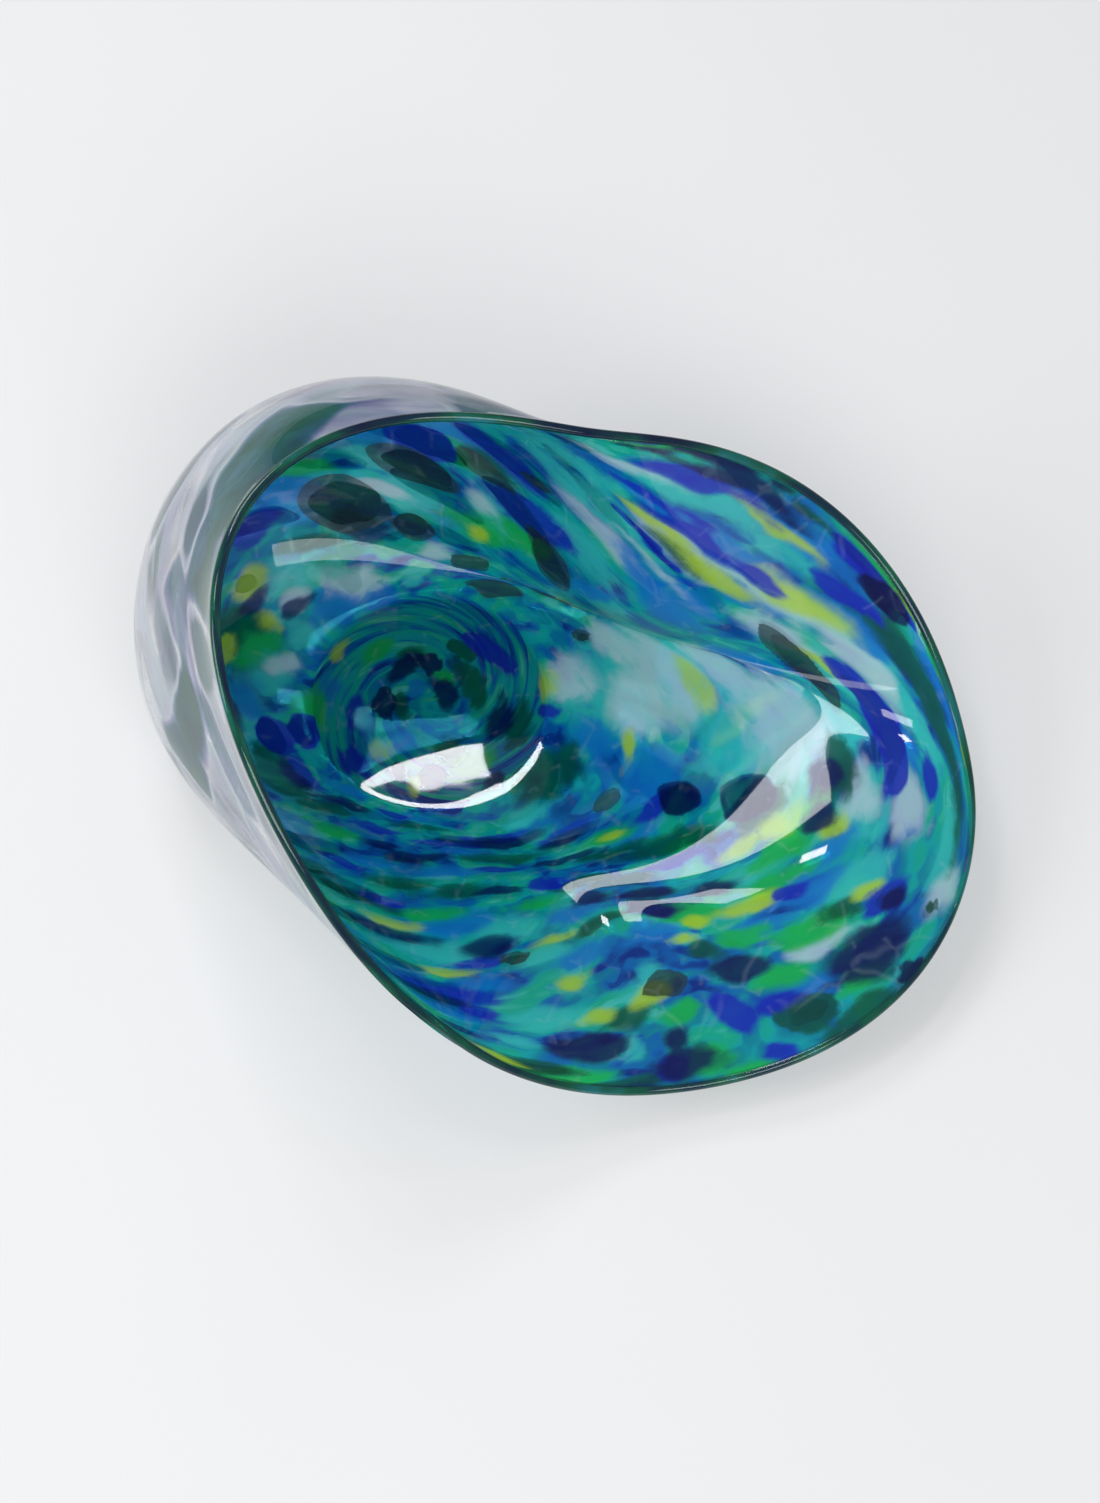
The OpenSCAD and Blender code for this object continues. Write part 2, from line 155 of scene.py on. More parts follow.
# Patches of melted frit, by colour: angle, rise, half the length in degrees, half the width
# in rise, and how far the patch climbs from its one end to the other.
SOFT = {
    "azure": [
        (132, 0.34, 9, 0.06, 0), (128, 0.27, 6, 0.03, 0), (105, 0.62, 8, 0.026, 0),
        (116, 0.5, 6, 0.04, 0), (72, 0.53, 3, 0.07, 0), (75, 0.88, 24, 0.014, 0.02),
        (64, 0.71, 14, 0.043, 0.03), (60, 0.76, 8, 0.017, 0.02), (51, 0.955, 10, 0.019, 0),
        (60, 0.88, 8, 0.017, 0), (56, 0.83, 10, 0.017, 0), (37, 0.9, 8, 0.017, 0),
        (33, 0.6, 8, 0.05, 0.04), (18, 0.965, 14, 0.01, 0), (29, 0.88, 4.8, 0.017, 0),
        (8, 0.8, 4, 0.02, 0.02), (338, 0.675, 6, 0.035, 0), (345, 0.12, 9, 0.06, 0),
        (338, 0.26, 12, 0.06, 0.03), (321, 0.33, 8, 0.03, 0), (175, -0.15, 14, 0.1, 0),
        (178, 0.08, 7, 0.025, 0), (220, 0.27, 9, 0.028, 0.03), (262, 0.07, 10, 0.025, 0),
        (232, 0.04, 8, 0.02, 0), (250, 0.5, 9, 0.035, 0), (225, 0.63, 6, 0.03, 0),
        (295, 0.7, 8, 0.035, 0), (277, 0.67, 7, 0.028, 0), (250, 0.68, 6, 0.03, 0),
        (331, 0.72, 6, 0.035, 0), (320, 0.75, 5, 0.03, 0), (317, 0.9, 5, 0.02, 0),
        (243, -0.56, 14, 0.12, 0), (140, -0.85, 30, 0.08, 0), (130, 0.04, 10, 0.03, 0),
        (115, 0.02, 8, 0.04, 0), (60, 0.28, 10, 0.06, 0), (240, 0.3, 9, 0.02, 0),
        (285, 0.56, 9, 0.025, 0), (214, 0.22, 8, 0.02, 0), (300, 0.5, 8, 0.025, 0),
        (275, 0.24, 10, 0.02, 0), (262, 0.33, 10, 0.02, 0), (238, 0.82, 6, 0.02, 0),
    ],
    "mint": [
        (114, 0.44, 6, 0.028, 0), (136, 0.14, 8, 0.035, 0), (105, 0.36, 6, 0.05, 0),
        (99, 0.05, 5, 0.03, 0), (97, 0.84, 14, 0.034, -0.06), (85, 0.78, 14, 0.038, -0.04),
        (80, 0.62, 6, 0.05, 0), (58, 0.42, 10, 0.06, 0), (66, 0.56, 7, 0.06, 0),
        (57, 0.93, 18, 0.015, 0), (25, 0.745, 14, 0.021, 0.03), (25, 0.87, 14, 0.021, 0),
        (348, 0.68, 9, 0.05, 0), (5, 0.12, 18, 0.09, 0), (20, 0.3, 20, 0.09, 0),
        (345, 0.2, 8, 0.02, 0), (305, 0.11, 12, 0.03, 0), (172, 0.06, 9, 0.04, 0),
        (245, 0.58, 9, 0.035, 0), (236, 0.9, 8, 0.02, 0), (264, 0.54, 11, 0.035, 0),
        (268, 0.64, 8, 0.02, 0), (272, 0.9, 4, 0.03, 0), (336, 0.77, 6, 0.045, 0),
        (302, 0.73, 5, 0.02, 0), (284, 0.8, 8, 0.03, 0), (45, 0.5, 12, 0.08, 0),
        (10, 0.6, 12, 0.08, 0), (352, 0.9, 10, 0.03, 0), (150, 0.05, 8, 0.03, 0),
        (242, -0.17, 8, 0.08, 0), (92, 0.46, 5, 0.06, 0), (260, 0.8, 8, 0.03, 0),
        (45, 0.86, 19, 0.025, 0), (70, 0.92, 19, 0.013, 0), (12, 0.86, 9, 0.03, 0),
        (0, 0.4, 12, 0.07, 0), (252, 0.87, 6, 0.02, 0), (330, 0.6, 5, 0.03, 0),
    ],
    "haze": [
        (121, 0.07, 9, 0.05, 0), (95, 0.2, 6, 0.045, 0), (64, 0.76, 14, 0.01, 0.02),
        (355, 0.77, 9, 0.05, 0), (10, 0.05, 10, 0.06, 0), (5, 0.2, 14, 0.06, 0),
        (110, 0.36, 5, 0.02, 0), (22, 0.2, 12, 0.05, 0), (352, 0.66, 7, 0.035, 0),
        (95, 0.47, 3, 0.03, 0), (5, 0.5, 16, 0.1, 0), (20, 0.42, 16, 0.06, 0),
        (345, 0.93, 7, 0.03, 0), (88, 0.93, 13, 0.013, 0), (140, 0.09, 6, 0.02, 0),
        (166, 0.04, 5, 0.02, 0), (35, 0.55, 10, 0.04, 0), (80, 0.72, 11, 0.025, 0),
        (323, 0.84, 4, 0.02, 0), (14, 0.28, 16, 0.08, 0), (40, 0.78, 12, 0.03, 0.02),
        (50, 0.86, 18, 0.035, 0), (26, 0.84, 11, 0.03, 0.02), (68, 0.83, 10, 0.025, 0),
    ],
    "green": [
        (125, 0.385, 5, 0.025, 0), (104, 0.57, 7, 0.034, 0), (93, 0.38, 6, 0.06, 0),
        (87, 0.48, 3, 0.07, 0), (183, -0.05, 10, 0.06, 0), (229, 0.22, 9, 0.022, 0.02),
        (135, -0.35, 16, 0.08, 0), (60, -0.75, 30, 0.08, 0), (300, -0.28, 16, 0.12, 0),
        (317, 0.3, 8, 0.028, 0), (310, 0.66, 7, 0.04, 0), (325, 0.8, 5, 0.03, 0),
        (316, 0.75, 6, 0.03, 0), (315, 0.86, 5, 0.025, 0), (337, 0.6, 6, 0.03, 0),
        (231, 0.88, 9, 0.03, 0), (263, 0.95, 6, 0.02, 0), (162, 0.1, 6, 0.04, 0),
        (20, 0.985, 22, 0.01, 0), (37, 0.993, 11, 0.009, 0), (256, 0.965, 9, 0.015, 0),
        (292, 0.97, 6, 0.02, 0), (80, 0.987, 26, 0.007, 0), (322, 0.94, 5, 0.02, 0),
        (300, 0.985, 8, 0.012, 0), (247, 0.46, 8, 0.02, 0), (276, 0.49, 9, 0.02, 0),
        (325, 0.42, 8, 0.025, 0), (222, 0.52, 5, 0.03, 0), (345, 0.585, 5, 0.025, 0),
        (330, 0.66, 6, 0.03, 0), (288, 0.88, 5, 0.02, 0), (212, 0.35, 8, 0.02, 0),
    ],
    "lime": [
        (146.5, 0.17, 5, 0.028, 0), (153, 0.1, 5, 0.02, 0), (76, 0.845, 8, 0.009, 0),
        (62, 0.83, 10, 0.017, 0), (57, 0.945, 10, 0.007, 0), (31, 0.985, 10, 0.007, 0),
        (344, 0.645, 3, 0.028, 0), (342, 0.55, 4, 0.028, 0), (333.5, 0.53, 6, 0.022, 0),
        (323, 0.68, 7, 0.025, 0), (8, -0.02, 11, 0.045, 0), (346, 0.195, 8, 0.014, 0),
        (262, -0.2, 6, 0.1, 0), (229, -0.38, 11, 0.11, 0), (149, -0.1, 7, 0.06, 0),
        (317, 0.3, 4, 0.015, 0), (240, 0.5, 5, 0.018, 0), (243, 0.645, 4, 0.015, 0),
        (273, 0.605, 7, 0.012, 0), (271, 0.72, 4, 0.018, 0), (270.5, 0.82, 4, 0.018, 0),
        (282.5, 0.83, 5, 0.02, 0), (302, 0.735, 5, 0.015, 0), (310, 0.69, 4, 0.02, 0),
        (26, 0.76, 10, 0.012, 0.02), (250, 0.955, 5, 0.012, 0), (10, 0.33, 8, 0.03, 0),
        (55, 0.36, 8, 0.03, 0), (336, 0.8, 3, 0.02, 0), (93, 0.36, 3, 0.03, 0),
        (166, 0.13, 3, 0.02, 0), (12, 0.982, 8, 0.008, 0), (45, 0.875, 13, 0.026, 0),
    ],
    "emerald": [
        (156, 0.13, 7, 0.035, 0), (142, 0.28, 4, 0.02, 0), (208, 0.115, 13, 0.032, 0.02),
        (165, 0.14, 6, 0.03, 0), (234, 0.44, 9, 0.022, 0.02), (67, 0.82, 8, 0.017, 0),
        (20, 0.925, 24, 0.024, 0), (325, 0.06, 15, 0.05, 0), (355, 0.6, 9, 0.04, 0),
        (342, 0.505, 6, 0.028, 0), (320, 0.4, 10, 0.035, 0), (285, 0.27, 16, 0.03, 0),
        (262, 0.12, 10, 0.02, 0), (276, 0.85, 6, 0.028, 0), (305, 0.775, 5, 0.025, 0),
        (318, 0.985, 5, 0.02, 0), (330, 0.8, 4, 0.03, 0), (256, 0.945, 8, 0.018, 0),
        (110, -0.58, 22, 0.1, 0), (292, -0.49, 16, 0.13, 0), (342, -0.2, 16, 0.1, 0),
        (126, 0.19, 9, 0.018, 0), (260, 0.4, 10, 0.025, 0), (295, 0.45, 9, 0.03, 0),
        (247, 0.36, 9, 0.02, 0), (306, 0.5, 8, 0.025, 0), (200, -0.75, 40, 0.08, 0),
        (20, -0.6, 40, 0.1, 0), (98, 0.6, 4, 0.03, 0), (222, 0.4, 6, 0.03, 0),
        (70, 0.985, 32, 0.005, 0), (285, 0.62, 9, 0.018, 0), (314, 0.36, 8, 0.02, 0),
        (331, 0.44, 6, 0.03, 0), (270, 0.975, 10, 0.012, 0), (224, 0.14, 8, 0.02, 0),
    ],
    "cobalt": [
        (138, 0.27, 6, 0.035, 0), (104, 0.66, 8, 0.026, 0.04), (97, 0.66, 6, 0.03, 0),
        (89, 0.565, 7, 0.05, -0.08), (196, -0.4, 17, 0.1, 0), (225, -0.15, 12, 0.1, 0),
        (38, -0.3, 22, 0.08, -0.14), (352, -0.02, 6, 0.05, 0), (72, 0.95, 11, 0.015, 0),
        (66, 0.865, 10, 0.012, 0), (78, 0.89, 12, 0.008, 0), (56, 0.87, 6, 0.012, 0),
        (40.5, 0.925, 7, 0.015, 0), (245, 0.17, 10, 0.018, 0), (214, 0.065, 11, 0.02, 0.02),
        (289, 0.43, 8, 0.026, 0), (303, 0.64, 4, 0.02, 0), (242, 0.73, 10, 0.03, 0),
        (246, 0.78, 5, 0.022, 0), (240, 0.43, 5.5, 0.014, 0), (288, 0.16, 14, 0.02, 0),
        (270, 0.2, 10, 0.018, 0), (312, 0.22, 8, 0.025, 0), (302, 0.9, 6, 0.03, 0),
        (311, 0.905, 4, 0.014, 0), (305, 0.975, 4, 0.014, 0), (306, 0.993, 5, 0.01, 0),
        (281, 0.965, 5, 0.022, 0), (336.5, 0.84, 5, 0.028, 0), (330, 0.3, 8, 0.02, 0),
        (255, 0.08, 9, 0.015, 0), (230, 0.33, 8, 0.015, 0.02), (277, 0.33, 10, 0.015, 0),
        (320, 0.47, 8, 0.02, 0), (331, 0.7, 3, 0.02, 0), (240, 0.97, 10, 0.012, 0),
        (251, 0.62, 7, 0.016, 0), (4, 0.835, 5, 0.02, 0.02), (223, 0.75, 6, 0.03, 0),
    ],
    "navy": [
        (114.5, 0.235, 6, 0.045, 0), (150, 0.14, 6, 0.016, 0), (142, 0.075, 7, 0.014, 0),
        (120, -0.62, 36, 0.08, 0), (342, -0.36, 22, 0.1, 0), (274, -0.25, 10, 0.09, 0),
        (250, -0.28, 6, 0.07, 0), (20, -0.85, 60, 0.1, 0), (305, -0.06, 8, 0.06, 0),
        (180, 0.12, 9, 0.018, 0), (214, 0.085, 10, 0.018, 0.02), (232, 0.1, 10, 0.02, 0),
        (255, 0.27, 10, 0.022, 0), (288, 0.18, 18, 0.028, 0), (236, 0.54, 9, 0.022, 0),
        (236, 0.76, 8, 0.022, 0), (242, 0.9, 5, 0.018, 0), (63, 0.965, 13, 0.01, 0),
        (75, 0.985, 16, 0.007, 0), (293, 0.535, 6, 0.028, 0), (303, 0.63, 8, 0.033, 0),
        (255, 0.58, 8, 0.028, 0), (267, 0.885, 6, 0.032, 0), (284.5, 0.92, 4, 0.02, 0),
        (285, 0.965, 9, 0.028, 0), (321, 0.6, 7, 0.025, 0), (309, 0.82, 7, 0.028, 0),
        (326.5, 0.91, 7, 0.05, 0), (336.5, 0.845, 4, 0.02, 0), (310, 0.24, 9, 0.02, 0),
        (300, 0.33, 10, 0.018, 0), (270, 0.42, 9, 0.015, 0), (345, 0.61, 3, 0.03, 0),
        (246, 0.23, 8, 0.015, 0), (306, 0.565, 6, 0.02, 0), (352, 0.575, 4, 0.03, 0),
        (265, 0.985, 12, 0.01, 0), (189, -0.62, 22, 0.08, 0),
    ],
    "smoke": [
        (98, 0.58, 5, 0.03, 0), (55, 0.22, 12, 0.07, 0), (66, 0.08, 8, 0.045, 0),
        (83, 0.22, 6, 0.055, 0),
    ],
}

# Chips that kept a crisp edge, and lie in the wall as pieces of their own.
CRISP = {
    "navy": [(336.5, 0.335, 5.5, 0.045, 0), (344, 0.455, 5.5, 0.05, 0),
             (329.5, 0.985, 3.2, 0.018, 0), (35.5, 0.965, 5.5, 0.02, 0),
             (185, -0.62, 20, 0.10, 0), (88, -0.66, 16, 0.09, 0), (272, -0.30, 9, 0.08, 0)],
    "cobalt": [(12, 0.755, 16, 0.038, 0.07), (74, 0.80, 10, 0.007, 0.03),
               (39, 0.975, 11, 0.009, 0), (194, 0.065, 9, 0.024, 0), (195, 0.017, 9, 0.022, 0),
               (109, 0.545, 5.5, 0.05, 0), (50, -0.30, 14, 0.06, -0.08)],
    "emerald": [(312.5, 0.935, 4.2, 0.028, 0), (340, 0.93, 1.8, 0.012, 0),
                (256, 0.945, 6, 0.014, 0), (60, -0.45, 14, 0.07, 0)],
    "lime": [(146.5, 0.17, 3.5, 0.02, 0), (344, 0.645, 2, 0.02, 0), (333.5, 0.53, 4, 0.014, 0)],
    "smoke": [(118, 0.29, 8, 0.072, 0), (103.5, 0.268, 5, 0.042, 0), (107.5, 0.455, 7, 0.045, 0),
              (79, 0.49, 9, 0.045, 0.08), (93.5, 0.67, 2.6, 0.014, -0.02),
              (30, 0.72, 14, 0.032, 0.14), (326, 0.205, 4.5, 0.022, 0),
              (260.5, 0.62, 4, 0.014, 0), (288.5, 0.82, 6.5, 0.025, 0), (27, 0.13, 3, 0.02, 0)],
    "mint": [(94.5, 0.585, 2.6, 0.028, 0), (122, 0.08, 5, 0.03, 0), (238, -0.20, 8, 0.07, 0)],
}
LAYERS = {"dark_frit": ("cobalt", "navy", "smoke"), "green_frit": ("emerald", "green", "lime"),
          "pale_frit": ("azure", "mint", "haze")}
# How much harder a crisp chip's edge is than a melted patch's, and how much less it is bent
CRISP_EDGE = 3.5
CRISP_BEND = 0.6
# How far beyond its listed half length and half width a patch fades out
SPREAD = 1.15
# How round a patch is along its length and across it: 1 is a diamond, 2 is an ellipse
LONG_ROUNDNESS = 1.5
CROSS_ROUNDNESS = 1.6


def patch_field(kind, angle, rise):
    """How far inside a colour's nearest patch each place is: 0.5 on its outline, 1 at its heart.

    Slow waves of angle and rise bend the patches, so that no two are alike.
    """
    bend = np.radians(angle)
    drift = 2.2 * np.sin(7 * bend + 9 * rise) + 1.2 * np.sin(17 * bend - 23 * rise + 1)
    lift = 0.007 * np.sin(9 * bend + 5 * rise + 2) + 0.003 * np.sin(23 * bend + 31 * rise)
    field = np.zeros(np.broadcast(angle, rise).shape)
    for patches, hardness, warp in ((SOFT, 1.0, 1.0), (CRISP, CRISP_EDGE, CRISP_BEND)):
        for at, high, length, width, gain in patches.get(kind, ()):
            u = ((angle + warp * drift - at + 180) % 360 - 180) / (length * SPREAD)
            v = (rise + warp * lift - high - gain / 2 * np.clip(u, -1, 1)) / (width * SPREAD)
            inside = 1 - np.abs(u) ** LONG_ROUNDNESS - np.abs(v) ** CROSS_ROUNDNESS
            field = np.maximum(field, np.clip(0.5 + 0.5 * hardness * inside, 0, 1))
    return field


# Degrees that the swirl turns from the foot to the rim, and from the floor's edge to its centre
WALL_TWIST = 40
FLOOR_TWIST = 210


def flow(angle, rise):
    """Seamless coordinates along the swirl: two turn round the vase, the third climbs the wall.

    On the floor the two close in on its centre and twist faster, which draws the frit into a spiral.
    """
    floor, wall = np.minimum(rise, 0), np.maximum(rise, 0)
    turn = np.radians(angle + WALL_TWIST * wall - FLOOR_TWIST * floor)
    return np.stack([(1 + floor) * np.cos(turn), (1 + floor) * np.sin(turn), wall + 0 * turn], -1)


# ---------------------------------------------------------------- finishes


class Value:
    """A shader socket that does arithmetic: each operator adds a Math node."""

    def __init__(self, finish, socket):
        self.finish, self.socket = finish, socket

    def math(self, operation, first, second=0.0):
        node = self.finish.add("ShaderNodeMath", {"operation": operation}, {0: first, 1: second})
        return Value(self.finish, node.outputs[0])

    def __add__(self, other):
        return self.math("ADD", self, other)

    def __radd__(self, other):
        return self.math("ADD", other, self)

    def __sub__(self, other):
        return self.math("SUBTRACT", self, other)

    def __rsub__(self, other):
        return self.math("SUBTRACT", other, self)

    def __mul__(self, other):
        return self.math("MULTIPLY", self, other)

    def __rmul__(self, other):
        return self.math("MULTIPLY", other, self)

    def fade(self, low, high):
        """0 below low and 1 above high, with a soft step between."""
        node = self.finish.add("ShaderNodeMapRange", {"interpolation_type": "SMOOTHSTEP"},
                               {0: self, 1: low, 2: high, 3: 0.0, 4: 1.0})
        return Value(self.finish, node.outputs[0])


class Finish:
    """A procedural material, built node by node."""

    def __init__(self, name):
        self.material = bpy.data.materials.new(name)
        self.material.use_nodes = True
        self.tree = self.material.node_tree
        self.tree.nodes.clear()

    def add(self, kind, settings=None, inputs=None):
        """Adds one node: its settings first, then values or links for its sockets."""
        node = self.tree.nodes.new(kind)
        for key, value in (settings or {}).items():
            setattr(node, key, value)
        for key, value in (inputs or {}).items():
            if isinstance(value, Value):
                value = value.socket
            if isinstance(value, bpy.types.NodeSocket):
                self.tree.links.new(value, node.inputs[key])
            elif value is not None:
                node.inputs[key].default_value = value
        return node

    def attribute(self, name):
        return self.add("ShaderNodeAttribute", {"attribute_name": name}).outputs["Vector"]

    def parts(self, vector):
        """The three numbers of a vector or colour."""
        node = self.add("ShaderNodeSeparateXYZ", None, {0: vector})
        return [Value(self, node.outputs[k]) for k in range(3)]

    def place(self):
        return self.add("ShaderNodeTexCoord").outputs["Object"]

    def stretch(self, vector, factors):
        node = self.add("ShaderNodeVectorMath", {"operation": "MULTIPLY"}, {0: vector, 1: factors})
        return node.outputs[0]

    def stir(self, vector, scale, amount):
        """A vector pushed about by a noise, each way by its own amount."""
        push = self.add("ShaderNodeTexNoise", None, {"Vector": vector, "Scale": scale, "Detail": 2.0})
        level = self.add("ShaderNodeVectorMath", {"operation": "SUBTRACT"},
                         {0: push.outputs["Color"], 1: (0.5, 0.5, 0.5)})
        node = self.add("ShaderNodeVectorMath", {"operation": "MULTIPLY_ADD"},
                        {0: level.outputs[0], 1: amount, 2: vector})
        return node.outputs[0]

    def noise(self, vector, scale, detail=2.0, roughness=0.5, distortion=0.0):
        node = self.add("ShaderNodeTexNoise", None, {
            "Vector": vector, "Scale": scale, "Detail": detail,
            "Roughness": roughness, "Distortion": distortion})
        return Value(self, node.outputs["Fac"])

    def cells(self, vector, softness):
        """Three random numbers for each cell of a scatter, melted into one another."""
        node = self.add("ShaderNodeTexVoronoi", {"feature": "SMOOTH_F1"},
                        {"Vector": vector, "Scale": 1.0, "Smoothness": softness})
        return self.parts(node.outputs["Color"])

    def seams(self, vector):
        """Distance to the nearest edge between the cells of a scatter."""
        node = self.add("ShaderNodeTexVoronoi", {"feature": "DISTANCE_TO_EDGE"},
                        {"Vector": vector, "Scale": 1.0})
        return Value(self, node.outputs["Distance"])

    def ramp(self, value, *stops):
        """Colours along a value from 0 to 1."""
        node = self.add("ShaderNodeValToRGB", None, {0: value})
        elements = node.color_ramp.elements
        while len(elements) < len(stops):
            elements.new(0.5)
        for element, (at, colour) in zip(elements, stops):
            element.position = at
            element.color = (*colour, 1)
        return node.outputs["Color"]

    def mix(self, factor, first, second):
        """A colour between two, by a factor."""
        pair = {6: first, 7: second}
        pair = {k: (*c, 1) if isinstance(c, tuple) else c for k, c in pair.items()}
        return self.add("ShaderNodeMix", {"data_type": "RGBA"}, {0: factor, **pair}).outputs[2]

    def bump(self, height, strength, distance):
        node = self.add("ShaderNodeBump", None,
                        {"Height": height, "Strength": strength, "Distance": distance})
        return node.outputs[0]

    def glass(self, colour, **sockets):
        """A Principled shader with the given sockets; underscores stand for spaces."""
        values = {"Base Color": colour, "IOR": 1.46, "Roughness": 0.03}
        values.update({key.replace("_", " "): value for key, value in sockets.items()})
        return self.add("ShaderNodeBsdfPrincipled", None, values).outputs[0]

    def done(self, surface):
        self.add("ShaderNodeOutputMaterial", None, {0: surface})
        return self.material


# Colours of the melted frit
NAVY = (0.003, 0.010, 0.12)
COBALT = (0.010, 0.030, 0.62)
AZURE = (0.008, 0.26, 0.80)
EMERALD = (0.001, 0.12, 0.07)
GREEN = (0.010, 0.60, 0.10)
LIME = (0.54, 0.82, 0.04)
MINT = (0.05, 0.70, 0.66)
HAZE = (0.64, 0.86, 0.94)
SMOKE = (0.028, 0.055, 0.055)


def frit_colour(finish):
    """Ground of melted cells from blue to sea green, and the patches of frit laid over it."""
    along = finish.attribute("flow")
    stirred = finish.stir(finish.stretch(along, (2.2, 2.2, 7.0)), 1.6, (0.55, 0.55, 0.55))
    big = finish.cells(finish.stretch(stirred, (2.2, 2.2, 2.6)), 0.55)
    small = finish.cells(finish.stretch(stirred, (4.6, 4.6, 5.5)), 0.45)
    streaks = finish.noise(finish.stretch(along, (1.8, 1.8, 14.0)), 1.8, 4.0, 0.55, 0.5)
    grain = finish.noise(finish.place(), 90.0, 3.0, 0.55, 0.6)
    tone = big[0] * 0.55 + small[0] * 0.30 + streaks * 0.35 - 0.10
    colour = finish.ramp(tone, (0.16, (0.002, 0.045, 0.34)), (0.30, (0.004, 0.19, 0.62)),
                         (0.42, (0.003, 0.32, 0.46)), (0.54, (0.006, 0.50, 0.56)),
                         (0.68, (0.008, 0.55, 0.36)), (0.84, (0.09, 0.72, 0.66)))
    wobble = (streaks - 0.5) * 0.9 + (grain - 0.5) * 0.7 + (small[1] - 0.5) * 0.35
    cobalt, navy, smoke = finish.parts(finish.attribute("dark_frit"))
    emerald, green, lime = finish.parts(finish.attribute("green_frit"))
    azure, mint, haze = finish.parts(finish.attribute("pale_frit"))
    colour = finish.mix((mint + wobble * 0.8).fade(0.30, 0.85) * 0.85, colour, MINT)
    colour = finish.mix((haze - wobble * 0.7).fade(0.30, 0.90) * 0.75, colour, HAZE)
    colour = finish.mix((azure + wobble * 0.8).fade(0.28, 0.85) * 0.85, colour, AZURE)
    colour = finish.mix((green - wobble * 0.7).fade(0.28, 0.82) * 0.88, colour, GREEN)
    colour = finish.mix((emerald + wobble * 0.7).fade(0.30, 0.78) * 0.88, colour, EMERALD)
    colour = finish.mix((lime - wobble * 0.6).fade(0.28, 0.88) * 0.85, colour, LIME)
    colour = finish.mix((cobalt - wobble * 0.6).fade(0.32, 0.70) * 0.93, colour, COBALT)
    colour = finish.mix((navy + wobble * 0.55).fade(0.33, 0.74) * 0.92, colour, NAVY)
    colour = finish.mix((smoke + wobble * 0.1).fade(0.44, 0.53) * 0.80, colour, SMOKE)
    threads = finish.seams(finish.stretch(finish.stir(finish.place(), 30.0, (0.02, 0.02, 0.02)),
                                          (60.0, 60.0, 60.0)))
    faint = (1 - threads.fade(0.0, 0.07)) * small[2].fade(0.45, 0.8) * 0.10
    return finish.mix(faint, colour, HAZE)


def wall_finish():
    """Cased glass: the frit's colours under a hard polish, half clear and half milky."""
    finish = Finish("cased_glass")
    face = finish.parts(finish.attribute("face"))
    along = finish.attribute("flow")
    patch = finish.cells(finish.stretch(along, (4.6, 4.6, 11.0)), 0.42)
    drift = finish.noise(finish.stretch(along, (3.0, 3.0, 12.0)), 1.6, 3.0, 0.5, 0.8)
    tone = patch[0] * 0.8 + drift * 0.3 - 0.05
    # Lustre on the outer face of the bulb: slate and lavender are its own tint, and its near-white
    # band is a painted reflection of the light on the left.
    lustre_and_reflection_colour = finish.ramp(tone, (0.26, (0.001, 0.09, 0.06)), (0.35, (0.03, 0.17, 0.22)),
                       (0.43, (0.34, 0.35, 0.56)), (0.54, (0.95, 0.96, 0.99)),
                       (0.74, (0.62, 0.61, 0.72)), (0.86, (0.08, 0.18, 0.20)))
    colour = finish.mix(face[0] * 0.90, frit_colour(finish), lustre_and_reflection_colour)
    ripple = finish.noise(finish.place(), 24.0, 2.0, 0.4)
    surface = finish.glass(colour, Transmission_Weight=0.6, Roughness=0.02,
                           Normal=finish.bump(ripple, 0.05, 0.004), Specular_IOR_Level=0.33,
                           Coat_Weight=face[0] * 0.2, Coat_Roughness=0.02)
    return finish.done(surface)


def bead_finish():
    """Fire-polished edge: the layers drawn together into thin dark stripes."""
    finish = Finish("rim_glass")
    along = finish.attribute("flow")
    stripes = finish.noise(finish.stretch(along, (3.0, 3.0, 14.0)), 1.3, 3.0)
    colour = finish.ramp(stripes, (0.30, (0.003, 0.012, 0.07)), (0.46, (0.004, 0.05, 0.08)),
                         (0.58, (0.006, 0.16, 0.08)), (0.72, (0.02, 0.30, 0.36)))
    return finish.done(finish.glass(colour, Transmission_Weight=0.5, Roughness=0.02))


def foot_finish():
    """Thick clear glass, ground and polished under the foot."""
    finish = Finish("foot_glass")
    haze = finish.noise(finish.place(), 160.0, 3.0)
    colour = finish.ramp(haze, (0.35, (0.45, 0.72, 0.72)), (0.65, (0.62, 0.84, 0.84)))
    rough = 0.05 + haze * 0.06
    return finish.done(finish.glass(colour, Transmission_Weight=0.8, Roughness=rough))


def chip_finish(name, colour, edge):
    """A chip of frit inside the glass: full colour, drifting to a second, and no gloss of its own."""
    finish = Finish(name)
    grain = finish.noise(finish.place(), 55.0, 3.0, 0.5, 0.5)
    tint = finish.mix(grain.fade(0.35, 0.68), colour, edge)
    return finish.done(finish.glass(tint, IOR=1.01, Transmission_Weight=0.55, Roughness=0.0,
                                    Specular_IOR_Level=0.0))


def pearl_and_reflection_finish():
    """Lustre on the outside of the bulb: slate, lavender and warm grey, with a satin white that is a
    painted reflection of the light on the left.
    """
    finish = Finish("pearl_lustre")
    along = finish.attribute("flow")
    drift = finish.noise(finish.stretch(along, (3.0, 3.0, 9.0)), 1.6, 3.0, 0.5, 0.8)
    patch = finish.cells(finish.stretch(along, (7.0, 7.0, 9.0)), 0.4)
    tone = drift * 0.6 + patch[0] * 0.5
    colour = finish.ramp(tone, (0.30, (0.04, 0.08, 0.12)), (0.42, (0.20, 0.22, 0.36)),
                         (0.52, (0.60, 0.60, 0.72)), (0.62, (0.92, 0.93, 0.95)),
                         (0.78, (0.50, 0.46, 0.40)))
    return finish.done(finish.glass(colour, Metallic=0.15, Roughness=0.12 + drift * 0.12,
                                    Coat_Weight=1.0, Coat_Roughness=0.02))


# ---------------------------------------------------------------- meshes


